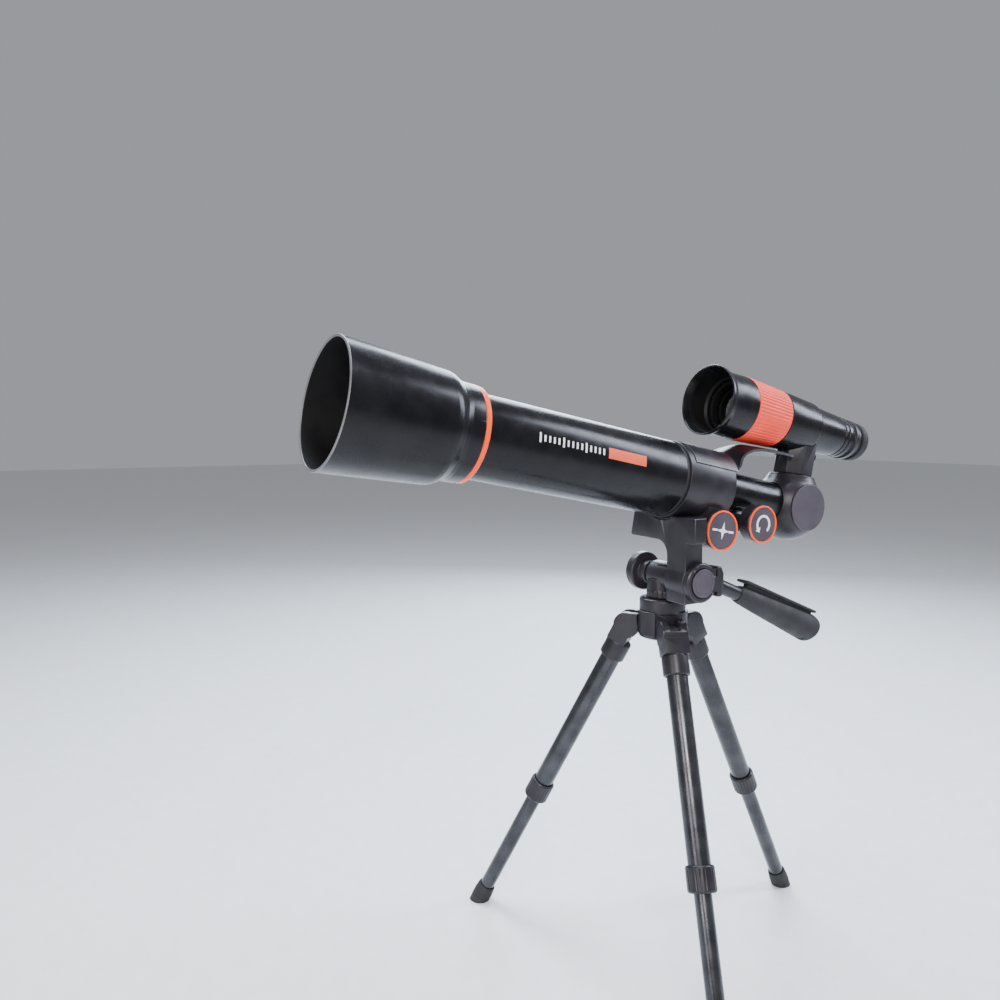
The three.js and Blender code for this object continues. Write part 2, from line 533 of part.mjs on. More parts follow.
// The grip's round body widens downwards towards its end, while its top stays level with the rail.
function handleGrip() {
  const { grip, end, shaftR } = HANDLE;
  const { startR, endR, drop, railLow, railHigh } = GRIP;
  const body = turned([
    [-grip + 4, 0], [-grip + 4, startR - 0.9], [-grip, startR], [-grip - 20, startR + 1.2], [-end + 4, endR],
    [-end + 1, endR - 0.6], [-end, endR - 2.5], [-end, 0],
  ], ROUND.medium);
  const position = body.attributes.position;
  for (let i = 0; i < position.count; i++) {
    const along = THREE.MathUtils.clamp((position.getY(i) - grip) / (end - grip), 0, 1);
    position.setZ(i, position.getZ(i) - drop * along);
  }
  const web = block(-2, 2, grip + 2, end - 6, 3, railHigh - 0.8);
  const rail = block(-5, 5, grip - 2, end - 5, railLow, railHigh);
  const bore = turned(rod(shaftR + GAP, -end + 39, -grip + 10), ROUND.small);
  const slant = block(-20, 20, 0, 20, -30, 20).rotateX(-0.3).translate(0, end - 1, 3);
  return alongHandle(cut(join(body, web, rail), bore, slant));
}

function head() {
  add(upright, 'tilt_bracket', tiltBracket(), 'satin');
  add(upright, 'platform_pad', platformPad(), 'rubber');
  add(upright, 'mount_screw', join(
    barZ(MOUNT_SCREW.r, PLATE.bottom + 3, MOUNT_SCREW.top, 0, MOUNT_Y),
    barZ(MOUNT_SCREW.headR, PLATE.bottom + GAP, PLATE.bottom + 4.2, 0, MOUNT_Y),
  ), 'steel');
  add(upright, 'mount_nut', cut(
    new THREE.CylinderGeometry(5.6, 5.6, 4, 6).rotateX(Math.PI / 2).translate(0, MOUNT_Y, -14.8),
    barZ(MOUNT_SCREW.r + GAP, -30, 0, 0, MOUNT_Y),
  ), 'brass');
  add(upright, 'tilt_bolt', join(
    barX(TILT.boltR, -28, COLUMN.right, TILT.y, TILT.z),
    barX(6.5, COLUMN.right + 2.3, COLUMN.right + 4.2, TILT.y, TILT.z, 6),
    barX(TILT.boltR, COLUMN.right - 1, COLUMN.right + 3, TILT.y, TILT.z),
  ), 'steel');
  add(upright, 'tilt_clamp', clampCollar(), 'satin');
  const cap = rod(8.6, COLUMN.right + 4.8, COLUMN.right + 5.6);
  add(upright, 'tilt_cap', turnedX(cap, TILT.y, TILT.z, ROUND.medium), 'face');
  add(upright, 'handle_bar', handleShaft(), 'satin');
  add(upright, 'handle_grip', handleGrip(), 'rubber');
  add(upright, 'tilt_knob', turnedX([
    [-32.4, 0], [-32.4, 9.5], [-31.6, 11.5], [-30.4, 12.3], [-26, 12.3], [-24.8, 11.6], [-24.4, 7.4],
    [-19.5, 7], [-19.5, TILT.boltR + GAP], [-28.4, TILT.boltR + GAP], [-28.4, 0],
  ], TILT.y, TILT.z, ROUND.medium), 'satin');
}

function panBase() {
  const barrel = barX(8.5, -16, COLUMN.left - GAP, TILT.y, TILT.z, ROUND.medium);
  const neck = barZ(NECK.r, NECK.bottom, TILT.z - 2, PAN.x, PAN.y, ROUND.medium);
  const boltHole = barX(TILT.boltR + GAP, -20, COLUMN.left + 1, TILT.y, TILT.z);
  const pivot = barZ(3.3, NECK.bottom - 1, -64.4, PAN.x, PAN.y);
  return cut(join(barrel, neck), boltHole, pivot);
}

// ---------------------------------------------------------------- hub
const hubAngles = Object.values(LEG_HEADINGS).map((a) => THREE.MathUtils.degToRad(a));
const aroundHub = (geometry, angle) => geometry.rotateZ(angle).translate(PAN.x, PAN.y, 0);

function hubBody() {
  const top = HUB.ringBottom;
  const ring = turnedZ([[top - 1, 0], [top - 1, HUB.ringR], [NECK.bottom - 1.3, HUB.ringR],
    [NECK.bottom - GAP, HUB.ringR - 1], [NECK.bottom - GAP, 0]], PAN.x, PAN.y, ROUND.medium);
  const drum = turnedZ([[HUB.bottom, 0], [HUB.bottom, HUB.r - 3], [HUB.bottom + 1, HUB.r - 1],
    [HUB.bottom + 3, HUB.r], [top, HUB.r], [top, 0]], PAN.x, PAN.y, ROUND.medium);
  const pocket = () => block(12.6, 40, -8.5, 8.5, HUB.bottom - 5, top + 5);
  const pockets = hubAngles.map((angle) => aroundHub(pocket(), angle));
  const tongues = hubAngles.map((angle) => aroundHub(join(
    block(11, LEG.pivotR, -3.2, 3.2, LEG.pivotZ - 4.4, LEG.pivotZ + 4.4),
    turned(rod(4.4, -3.2, 3.2), ROUND.small).translate(LEG.pivotR, 0, LEG.pivotZ),
  ), angle));
  const pinHoles = hubAngles.map((angle) => aroundHub(
    turned(rod(1.9, -4, 4), ROUND.tiny).translate(LEG.pivotR, 0, LEG.pivotZ), angle));
  const bolt = barZ(3.3, HUB.bottom - 1, NECK.bottom + 1, PAN.x, PAN.y);
  const headPocket = barZ(6.2, HUB.bottom - 1, HUB.bottom + 5, PAN.x, PAN.y);
  return cut(join(cut(drum, ...pockets), ring, ...tongues), ...pinHoles, bolt, headPocket);
}

function hub() {
  add(upright, 'pan_base', panBase(), 'satin');
  add(upright, 'hub_body', hubBody(), 'satin');
  add(upright, 'pan_bolt', join(
    barZ(3, HUB.bottom + 1, -64.8, PAN.x, PAN.y),
    barZ(5.6, HUB.bottom + 0.8, HUB.bottom + 4.6, PAN.x, PAN.y, 6),
  ), 'steel');
}

// ---------------------------------------------------------------- legs
// Leg pieces are drawn straight down from the pivot, with +X pointing away from the hub.
function knuckle() {
  const { r, half, slotHalf, socketR, socketEnd } = KNUCKLE;
  const round = turned(rod(r, -half, half), ROUND.small);
  const neck = block(-5, 7.4, -half, half, -13, 0);
  const socket = barZ(socketR, socketEnd, -12.4, 0, 0, ROUND.small);
  const corner = block(-7.5, 0, -half, half, -3, 8).rotateY(SPLAY);
  const slot = block(-20, 6, -slotHalf, slotHalf, -6, 20);
  const outward = block(-20, 20, -slotHalf, slotHalf, 0, 20);
  const pin = turned(rod(1.6, -half + 1, half - 1), ROUND.tiny);
  const tubeBore = barZ(LEG.tubeR + GAP, socketEnd - 5, -14.5, 0, 0, ROUND.small);
  return join(cut(join(round, neck, socket, corner), slot, outward, tubeBore), pin);
}

function foot() {
  const { length, lowerR } = LEG;
  const boot = turnedZ([
    [-length - 6, 0], [-length - 6, 6.2], [-length + 6, 6.6], [-length + 13, 6],
    [-length + 14, 5.2 + GAP], [-length + 14, lowerR + GAP], [-length + 8, lowerR + GAP], [-length + 8, 0],
  ], 0, 0, ROUND.small);
  const floor = block(-30, 30, -30, 30, -30, 0).rotateY(SPLAY).translate(0, 0, -length);
  return cut(boot, floor);
}

function leg(name, heading) {
  const turn = new THREE.Group();
  turn.position.set(PAN.x, PAN.y, 0);
  turn.rotation.z = THREE.MathUtils.degToRad(heading);
  const spread = new THREE.Group();
  spread.position.set(LEG.pivotR, 0, LEG.pivotZ);
  spread.rotation.y = -SPLAY;
  turn.add(spread);
  upright.add(turn);
  const { tubeR, lowerR, wall, length } = LEG;
  add(spread, `leg_knuckle_${name}`, knuckle(), 'satin');
  const upper = pipe(tubeR, tubeR - wall, LEG.upperEnd, -14.8);
  const lower = pipe(lowerR, lowerR - 0.9, -length + 8.3, -104);
  add(spread, `leg_upper_${name}`, turnedZ(upper, 0, 0, ROUND.small), 'metal');
  add(spread, `leg_collar_${name}`, turnedZ([
    [-142, lowerR + GAP], [-142, 7.4], [-141, 8.1], [-129, 8.1], [-128, 7.4], [-128, tubeR + GAP],
    [LEG.upperEnd - GAP, tubeR + GAP], [LEG.upperEnd - GAP, lowerR + GAP],
  ], 0, 0, ROUND.small), 'satin');
  add(spread, `leg_lower_${name}`, turnedZ(lower, 0, 0, ROUND.small), 'metal');
  add(spread, `leg_foot_${name}`, foot(), 'rubber');
}

// ---------------------------------------------------------------- assembly
frontEnd();
focuser();
focusDrive();
carriage();
viewer();
head();
hub();
Object.entries(LEG_HEADINGS).forEach(([name, heading]) => leg(name, heading));

export default object;
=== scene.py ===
import json
import math

import bpy
import bmesh
from mathutils import Matrix, Vector


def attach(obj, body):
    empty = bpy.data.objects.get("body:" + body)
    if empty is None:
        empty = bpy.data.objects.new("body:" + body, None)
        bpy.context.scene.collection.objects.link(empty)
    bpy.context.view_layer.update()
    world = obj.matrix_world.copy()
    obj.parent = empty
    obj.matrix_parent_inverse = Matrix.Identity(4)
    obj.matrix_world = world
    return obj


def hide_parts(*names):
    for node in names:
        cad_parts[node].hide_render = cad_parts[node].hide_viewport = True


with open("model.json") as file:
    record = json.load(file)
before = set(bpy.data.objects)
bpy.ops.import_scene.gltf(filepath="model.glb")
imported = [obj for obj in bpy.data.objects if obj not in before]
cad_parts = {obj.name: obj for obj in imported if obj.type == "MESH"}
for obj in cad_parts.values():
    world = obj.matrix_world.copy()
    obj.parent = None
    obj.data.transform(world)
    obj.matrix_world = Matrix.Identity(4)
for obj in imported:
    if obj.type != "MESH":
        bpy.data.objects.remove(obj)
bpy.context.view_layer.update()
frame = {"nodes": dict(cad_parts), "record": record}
BODIES = frame["record"]["behaviour"]["bodies"]
SLOTS = {p["node"]: p["material_slot"] for p in frame["record"]["subparts"]}
BODY_OF = {node: body for body, nodes in BODIES.items() for node in nodes}

# ------------------------------------------------------------------ frames, all lengths in mm
ELEVATION = math.radians(11.35)
SPLAY = math.radians(27)
HEADINGS = {"front": -25, "rear": 95, "far": -145}
PAN = (-9.0, -9.1)
PIVOT_R, PIVOT_Z, LEG_LENGTH = 21.5, -90.5, 236.0
FLOOR_Z = PIVOT_Z - LEG_LENGTH * math.cos(SPLAY)

UPRIGHT = Matrix.Scale(0.001, 4) @ Matrix.Translation((3.4, 38.6, -FLOOR_Z))
TELESCOPE = UPRIGHT @ Matrix.Rotation(-ELEVATION, 4, "X")


def leg_frame(heading):
    return (UPRIGHT @ Matrix.Translation((*PAN, 0)) @ Matrix.Rotation(math.radians(heading), 4, "Z")
            @ Matrix.Translation((PIVOT_R, 0, PIVOT_Z)) @ Matrix.Rotation(-SPLAY, 4, "Y"))


# ------------------------------------------------------------------ mesh helpers
def to_object(bm, name="part"):
    bmesh.ops.remove_doubles(bm, verts=bm.verts, dist=1e-4)
    bmesh.ops.recalc_face_normals(bm, faces=bm.faces)
    mesh = bpy.data.meshes.new(name)
    bm.to_mesh(mesh)
    bm.free()
    obj = bpy.data.objects.new(name, mesh)
    bpy.context.scene.collection.objects.link(obj)
    return obj


def rounded(profile, radius, closed, steps=4):
    """Softens the corners of a profile with short curves."""
    out = []
    n = len(profile)
    for i, p in enumerate(profile):
        if not closed and i in (0, n - 1):
            out.append(p)
            continue
        a, b = Vector(profile[i - 1]), Vector(profile[(i + 1) % n])
        p = Vector(p)
        la, lb = (a - p).length, (b - p).length
        d = min(radius, 0.42 * la, 0.42 * lb)
        if d < 0.02 or (a - p).angle(b - p, 0) > math.radians(172):
            out.append(tuple(p))
            continue
        start, end = p + (a - p) / la * d, p + (b - p) / lb * d
        for k in range(steps + 1):
            t = k / steps
            out.append(tuple(start * (1 - t) ** 2 + p * (2 * t * (1 - t)) + end * t * t))
    return out


def lathe(stations, axis="S", at=(0.0, 0.0), seg=128, soft=0.35, ripple=None):
    """Turned closed piece. Stations are (along, radius). ripple(angle, along) is added to the radius."""
    solid = stations[0][1] == 0
    profile = rounded([tuple(map(float, p)) for p in stations], soft, closed=not solid)
    bm = bmesh.new()
    rings = []
    for along, r in profile:
        ring = []
        for k in range(seg if r > 0 else 1):
            t = 2 * math.pi * k / seg
            rr = r + (ripple(t, along, r) if ripple and r > 0 else 0)
            c, d = rr * math.sin(t), rr * math.cos(t)
            if axis == "S":
                p = (at[0] + c, -along, at[1] + d)
            elif axis == "X":
                p = (along, at[0] + c, at[1] + d)
            else:
                p = (at[0] + c, at[1] + d, along)
            ring.append(bm.verts.new(p))
        rings.append(ring)
    pairs = list(zip(rings, rings[1:])) + ([] if solid else [(rings[-1], rings[0])])
    for a, b in pairs:
        for k in range(seg):
            j = (k + 1) % seg
            corners = [a[k % len(a)], a[j % len(a)], b[j % len(b)], b[k % len(b)]]
            unique = list(dict.fromkeys(corners))
            if len(unique) > 2:
                bm.faces.new(unique)
    return to_object(bm)


def rod(r, a, b):
    return [(a, 0), (a, r), (b, r), (b, 0)]


def pipe(outer, inner, a, b):
    return [(a, inner), (a, outer), (b, outer), (b, inner)]


def box(x0, x1, y0, y1, z0, z1):
    bm = bmesh.new()
    bmesh.ops.create_cube(bm, size=1)
    for v in bm.verts:
        v.co = Vector((x0 + (v.co.x + 0.5) * (x1 - x0), y0 + (v.co.y + 0.5) * (y1 - y0), z0 + (v.co.z + 0.5) * (z1 - z0)))
    return to_object(bm)


def extrude(outline, low, high, plane="YZ"):
    """A flat outline of (a, b) points given thickness along the third axis."""
    bm = bmesh.new()
    place = {"YZ": lambda a, b, t: (t, a, b), "XZ": lambda a, b, t: (a, t, b), "XY": lambda a, b, t: (a, b, t)}[plane]
    lows = [bm.verts.new(place(a, b, low)) for a, b in outline]
    highs = [bm.verts.new(place(a, b, high)) for a, b in outline]
    bm.faces.new(lows)
    bm.faces.new(reversed(highs))
    n = len(outline)
    for i in range(n):
        bm.faces.new((lows[i], highs[i], highs[(i + 1) % n], lows[(i + 1) % n]))
    return to_object(bm)


def sheet_solid(grid, thickness):
    """A closed shell from a grid of points, thickened along its own normals."""
    bm = bmesh.new()
    rows, cols = len(grid), len(grid[0])
    normals = [[None] * cols for _ in range(rows)]
    for i in range(rows):
        for j in range(cols):
            du = grid[min(i + 1, rows - 1)][j] - grid[max(i - 1, 0)][j]
            dv = grid[i][min(j + 1, cols - 1)] - grid[i][max(j - 1, 0)]
            normals[i][j] = du.cross(dv).normalized()
    top = [[bm.verts.new(grid[i][j]) for j in range(cols)] for i in range(rows)]
    low = [[bm.verts.new(grid[i][j] + normals[i][j] * thickness) for j in range(cols)] for i in range(rows)]
    for i in range(rows - 1):
        for j in range(cols - 1):
            bm.faces.new((top[i][j], top[i + 1][j], top[i + 1][j + 1], top[i][j + 1]))
            bm.faces.new((low[i][j], low[i][j + 1], low[i + 1][j + 1], low[i + 1][j]))
    for i in range(rows - 1):
        for j in (0, cols - 1):
            bm.faces.new((top[i][j], low[i][j], low[i + 1][j], top[i + 1][j]))
    for j in range(cols - 1):
        for i in (0, rows - 1):
            bm.faces.new((top[i][j], top[i][j + 1], low[i][j + 1], low[i][j]))
    return to_object(bm)


def applied(obj):
    graph = bpy.context.evaluated_depsgraph_get()
    mesh = bpy.data.meshes.new_from_object(obj.evaluated_get(graph))
    obj.modifiers.clear()
    obj.data = mesh
    return obj


def combine(obj, others, operation):
    for other in others:
        mod = obj.modifiers.new("combine", "BOOLEAN")
        mod.solver, mod.operation, mod.object = "EXACT", operation, other
        applied(obj)
        bpy.data.objects.remove(other)
    return obj


def join(obj, *others):
    return combine(obj, others, "UNION")


def cut(obj, *others):
    return combine(obj, others, "DIFFERENCE")


def common(obj, *others):
    return combine(obj, others, "INTERSECT")


def repaired(obj):
    """Merges the slivers that a cut leaves along curved walls."""
    bm = bmesh.new()
    bm.from_mesh(obj.data)
    bmesh.ops.remove_doubles(bm, verts=bm.verts, dist=2e-3)
    bmesh.ops.dissolve_degenerate(bm, edges=bm.edges, dist=2e-3)
    bmesh.ops.holes_fill(bm, edges=[edge for edge in bm.edges if len(edge.link_faces) == 1], sides=8)
    bm.to_mesh(obj.data)
    bm.free()
    return obj


def moved(obj, matrix):
    obj.data.transform(matrix)
    return obj


def bevelled(obj, width=0.5, segments=2, angle=38):
    mod = obj.modifiers.new("bevel", "BEVEL")
    mod.width, mod.segments, mod.limit_method = width, segments, "ANGLE"
    mod.angle_limit, mod.use_clamp_overlap = math.radians(angle), True
    return applied(obj)


# ------------------------------------------------------------------ materials
def link(tree, a, b):
    tree.links.new(a, b)


def surface(name, color, rough, grain=2200.0, bump=0.12, depth=0.00006, vary=0.25, spread=0.08,
            metallic=0.0, coat=0.0, scratch=0.0, wear=None, brushed=None, transmission=0.0, specular=0.5):
    """Base colour with blotchy variation, moulded or brushed grain, fine scratches and worn edges."""
    mat = bpy.data.materials.new(name)
    mat.use_nodes = True
    tree = mat.node_tree
    shader = tree.nodes["Principled BSDF"]
    shader.inputs["Metallic"].default_value = metallic
    shader.inputs["Coat Weight"].default_value = coat
    shader.inputs["Coat Roughness"].default_value = 0.12
    shader.inputs["Transmission Weight"].default_value = transmission
    shader.inputs["Specular IOR Level"].default_value = specular
    coord = tree.nodes.new("ShaderNodeTexCoord").outputs["Object"]

    def noise(scale, detail=3.0, stretch=None):
        node = tree.nodes.new("ShaderNodeTexNoise")
        node.inputs["Scale"].default_value = scale
        node.inputs["Detail"].default_value = detail
        source = coord
        if stretch:
            mapping = tree.nodes.new("ShaderNodeMapping")
            mapping.inputs["Scale"].default_value = stretch
            link(tree, coord, mapping.inputs["Vector"])
            source = mapping.outputs["Vector"]
        link(tree, source, node.inputs["Vector"])
        return node.outputs["Fac"]

    def ranged(value, low, high, to_low, to_high):
        node = tree.nodes.new("ShaderNodeMapRange")
        for key, v in (("From Min", low), ("From Max", high), ("To Min", to_low), ("To Max", to_high)):
            node.inputs[key].default_value = v
        link(tree, value, node.inputs["Value"])
        return node.outputs["Result"]

    def mixed(factor, a, b):
        node = tree.nodes.new("ShaderNodeMix")
        node.data_type = "RGBA"
        link(tree, factor, node.inputs[0])
        for socket, value in ((node.inputs[6], a), (node.inputs[7], b)):
            if isinstance(value, tuple):
                socket.default_value = (*value, 1)
            else:
                link(tree, value, socket)
        return node.outputs[2]

    dark = tuple(c * (1 - vary) for c in color)
    light = tuple(min(1.0, c * (1 + vary) + 0.0015) for c in color)
    tone = mixed(ranged(noise(70.0, 4.0), 0.35, 0.65, 0, 1), dark, light)
    if wear:
        geometry = tree.nodes.new("ShaderNodeNewGeometry")
        worn = ranged(geometry.outputs["Pointiness"], 0.56, 0.66, 0, 0.6)
        tone = mixed(worn, tone, wear)
    link(tree, tone, shader.inputs["Base Color"])
    blotch = ranged(noise(120.0, 5.0), 0.3, 0.7, rough - spread, rough + spread)
    if scratch:
        lines = ranged(noise(1.0, 2.0, (90, 2600, 2600)), 0.66, 0.7, 0, scratch)
        add = tree.nodes.new("ShaderNodeMath")
        add.operation = "ADD"
        link(tree, blotch, add.inputs[0])
        link(tree, lines, add.inputs[1])
        blotch = add.outputs[0]
    link(tree, blotch, shader.inputs["Roughness"])
    relief = tree.nodes.new("ShaderNodeBump")
    relief.inputs["Strength"].default_value = bump
    relief.inputs["Distance"].default_value = depth
    height = noise(1.0, 2.0, brushed) if brushed else noise(grain, 3.0)
    link(tree, height, relief.inputs["Height"])
    link(tree, relief.outputs["Normal"], shader.inputs["Normal"])
    return mat


GREY_WEAR = (0.16, 0.165, 0.18)
MATERIALS = {
    "gloss_black": surface("gloss_black", (0.0042, 0.0040, 0.0050), 0.25, 3000, 0.07, scratch=0.08, wear=GREY_WEAR,
                           specular=0.24, spread=0.05),
    "satin_black": surface("satin_black", (0.0155, 0.0135, 0.0175), 0.36, 2000, 0.16, scratch=0.06, wear=GREY_WEAR,
                           specular=0.34, spread=0.06),
    "disc_grey": surface("disc_grey", (0.050, 0.040, 0.054), 0.5, 1500, 0.25, vary=0.12),
    "orange": surface("orange", (0.96, 0.092, 0.012), 0.36, 2600, 0.08, vary=0.06, wear=(0.95, 0.3, 0.12), specular=0.28),
    "ring_red": surface("ring_red", (0.95, 0.068, 0.036), 0.46, 2200, 0.15, vary=0.10, wear=(0.95, 0.22, 0.14), specular=0.25),
    "rubber": surface("rubber", (0.010, 0.010, 0.011), 0.72, 1300, 0.5, depth=0.0001, vary=0.3),
    "leg_metal": surface("leg_metal", (0.05, 0.051, 0.056), 0.27, 1, 0.05, metallic=0.75, scratch=0.12,
                         brushed=(3000, 3000, 60), wear=(0.3, 0.3, 0.32)),
    "steel": surface("steel", (0.55, 0.56, 0.58), 0.28, 1, 0.15, metallic=1.0, brushed=(60, 3200, 3200)),
    "brass": surface("brass", (0.72, 0.50, 0.18), 0.3, 1, 0.15, metallic=1.0, brushed=(3000, 3000, 90)),
    "glass": surface("glass", (0.85, 0.9, 0.98), 0.05, 300, 0.02, vary=0.03, spread=0.02, transmission=0.9, coat=0.6),
    "mirror": surface("mirror", (0.9, 0.91, 0.92), 0.05, 400, 0.02, vary=0.02, spread=0.02, metallic=1.0),
}
INK_WHITE = surface("ink_white", (0.82, 0.82, 0.84), 0.45, 1800, 0.1, vary=0.06)
INK_RED = surface("ink_red", (0.80, 0.10, 0.03), 0.45, 1800, 0.1, vary=0.08)
# Matte black lining, darker than the outer plastic: its extra darkness is painted shade for the recessed insides of the
# hood, bell, barrel and lens seats.
BORE_SHADE_BLACK = surface("bore_shade_black", (0.003, 0.0029, 0.0034), 0.6, 1500, 0.3, specular=0.2)
# Lighter grey for the hood's front lip: a painted highlight standing in for the light caught along the rim edge.
LIP_HIGHLIGHT_GREY = surface("lip_highlight_grey", (0.11, 0.11, 0.12), 0.35, 1500, 0.1)


def finish(obj, name, matrix, nodes, body=None, slot=None, material=None, sharp=32):
    obj.name = obj.data.name = name
    obj.data.transform(matrix)
    obj.data.materials.clear()
    nodes = nodes or []
    slot = slot or SLOTS[nodes[0]]
    obj.data.materials.append(material or MATERIALS[slot])
    for polygon in obj.data.polygons:
        polygon.use_smooth = True
    obj.data.set_sharp_from_angle(angle=math.radians(sharp))
    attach(obj, body or BODY_OF[nodes[0]])
    if nodes:
        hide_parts(*nodes)
    return obj


def paint(obj, material, chosen):
    """Gives the faces whose centre passes the test a second material."""
    obj.data.materials.append(material)
    index = len(obj.data.materials) - 1
    for polygon in obj.data.polygons:
        if chosen(polygon.center):
            polygon.material_index = index


# ------------------------------------------------------------------ front end
INVERSE_TELESCOPE = TELESCOPE.inverted()


def tube_coordinates(point, u=0.0):
    """Station along the optical axis and distance from it, in mm."""
    p = INVERSE_TELESCOPE @ point
    return -p.y, math.hypot(p.x, p.z - u)


hood = finish(lathe([
    (159, 23.3), (159, 26.3), (166.5, 26.5), (169.5, 27.2), (172, 28.5), (173.9, 29.5), (176.5, 30.1),
    (200, 31.6), (220, 32.8), (233.5, 33.6), (234.1, 33.7), (234.5, 33.3), (234.5, 32.3), (233.6, 32.1),
    (205, 30.2), (175.5, 28.4), (175.2, 21.6), (173.3, 21.6), (173.3, 23.3)], seg=160, soft=0.5),
    "hood", TELESCOPE, ["dew_shield"])
# Painted shade: the hood's inner wall in front of the lens gets the darker lining.
paint(hood, BORE_SHADE_BLACK, lambda c: (lambda s, r: s > 175.3 and r < 28.35 + (s - 175.3) * 0.066 + 0.3)(*tube_coordinates(c)))
# Painted highlight: the faces of the front lip get the lighter grey.
paint(hood, LIP_HIGHLIGHT_GREY, lambda c: tube_coordinates(c)[0] > 233.9)

finish(lathe([(155.6, 23.3), (155.6, 25.6), (156.1, 26.05), (158.2, 26.05), (158.7, 25.6), (158.7, 23.3)], seg=160),
       "accent_band", TELESCOPE, ["trim_band"])
finish(lathe([(20.3, 21.6), (20.3, 23), (173, 23), (173, 21.6)], seg=160), "optical_tube", TELESCOPE, ["main_tube"])
finish(lathe([(17.7, 21.6), (17.7, 22.4), (18.3, 22.5), (19.4, 22.5), (20, 22.4), (20, 21.6)], seg=128),
       "joint_ring", TELESCOPE, ["seam_ring"])
lens_face = [(179.8 + 3 * (1 - t * t), 24.9 * t) for t in [k / 14 for k in range(15)]]
finish(lathe(lens_face + [(177.8, 24.9), (177.8, 0)], seg=128, soft=0.1), "front_lens", TELESCOPE, ["objective_lens"])
# The lens seat sits deep in the hood and takes the darker lining as painted shade.
finish(lathe([(175.6, 22.5), (175.6, 28.05), (182.6, 28.05), (182.6, 26.6), (181.2, 25.2), (177.5, 25.2), (177.5, 22.5)],
             seg=128), "front_lens_seat", TELESCOPE, ["objective_cell"], material=BORE_SHADE_BLACK)


def tube_patch(s0, s1, u0, u1, radius=23.0, proud=0.07):
    """A thin raised mark that follows the tube on its +X side."""
    a0, a1 = math.asin(u0 / radius), math.asin(u1 / radius)
    grid = []
    for i in range(5):
        s = s0 + (s1 - s0) * i / 4
        row = []
        for j in range(9):
            a = a0 + (a1 - a0) * j / 8
            row.append(Vector((radius * math.cos(a), -s, radius * math.sin(a))))
        grid.append(row)
    obj = sheet_solid(grid, proud)
    outward = max(math.hypot(v.co.x, v.co.z) for v in obj.data.vertices) > radius + proud / 2
    if outward:
        return obj
    bpy.data.objects.remove(obj)
    return sheet_solid([row[::-1] for row in grid], proud)


def merged(objs):
    bm = bmesh.new()
    for obj in objs:
        bm.from_mesh(obj.data)
        bpy.data.objects.remove(obj)
    return to_object(bm)


MARK_STEP = 3.0
ticks = []
for i in range(15):
    s = 125.0 - MARK_STEP * i
    tall = 2.6 if i % 5 == 0 else 1.7
    ticks.append(tube_patch(s, s - 1.15, 5.0 - tall, 5.0 + tall))
finish(merged(ticks), "tube_graduations", TELESCOPE, [], "tilt_head", "gloss_black", INK_WHITE, 60)
finish(tube_patch(79, 52, 2.1, 8.0), "tube_accent_block", TELESCOPE, [], "tilt_head", "orange", INK_RED, 60)

# ------------------------------------------------------------------ focuser housing
BOSS_S, BOSS_U = -12.9, -25.4
PINION_S, PINION_U = -45.5, -16.9


def housing():
    body = lathe([(31.4, 21.3), (17.4, 21.3), (17.4, 23.4), (-19.3, 23.4), (-20.3, 22.6), (-20.3, 13.4), (-16.3, 13.4),
                  (-16.3, 21), (14.4, 21), (14.4, 19.8), (31.4, 19.8)], seg=128, soft=0.3)
    boss = lathe([(-23.3, 0), (-23.3, 11.3), (-22.4, 12), (22.4, 12), (23.3, 11.3), (23.3, 0)], "X", (-BOSS_S, BOSS_U), 72)
    web = box(-20, 20, -BOSS_S - 10, -BOSS_S + 7, BOSS_U, -12)
    parts = [boss, web]
    for side in (-1, 1):
        low, high = sorted((6.8 * side, 10.6 * side))
        parts.append(box(low, high, -BOSS_S, -PINION_S, PINION_U - 4.3, PINION_U + 4.3))
        parts.append(lathe(rod(4.3, low, high), "X", (-PINION_S, PINION_U), 40))
    parts.append(box(-10.6, 10.6, -BOSS_S, -PINION_S + 1, PINION_U - 6.3, PINION_U - 4.2))
    body = join(body, *parts)
    hollow = lathe([(37.4, 0), (37.4, 19.8), (14.4, 19.8), (14.4, 21), (-16.3, 21), (-16.3, 13.4), (-55.5, 13.4), (-55.5, 0)],
                   seg=96, soft=0.0)
    shaft = lathe(rod(2.3, -23.2, 23.2), "X", (-PINION_S, PINION_U), 32)
    screw = moved(lathe(rod(3.3, -40, -5), "Z", (0, -12), 32), Matrix.Rotation(ELEVATION, 4, "X"))
    recess = sector(25.4, 22.4, 13.3, -21.3, 61)
    return cut(body, hollow, shaft, screw, recess)


def sector(outer, inner, front, rear, half):
    """Part of a pipe over the top of the tube."""
    grid = []
    for i in range(25):
        s = front + (rear - front) * i / 24
        row = []
        for j in range(65):
            a = math.radians(-half + 2 * half * j / 64)
            row.append(Vector((inner * math.sin(a), -s, inner * math.cos(a))))
        grid.append(row)
    obj = sheet_solid(grid, outer - inner)
    if max(math.hypot(v.co.x, v.co.z) for v in obj.data.vertices) < (outer + inner) / 2:
        bpy.data.objects.remove(obj)
        return sheet_solid([row[::-1] for row in grid], outer - inner)
    return obj


def mirrored(obj):
    """A copy of a piece on the other side of the middle plane."""
    bm = bmesh.new()
    bm.from_mesh(obj.data)
    bmesh.ops.scale(bm, vec=(-1, 1, 1), verts=bm.verts)
    return to_object(bm)


near_half = repaired(common(housing(), box(0.15, 60, -60, 80, -60, 60)))
far_half = mirrored(near_half)
for half, name in ((near_half, "near"), (far_half, "far")):
    finish(half, f"focuser_half_{name}", TELESCOPE, [f"focuser_shell_{name}"])

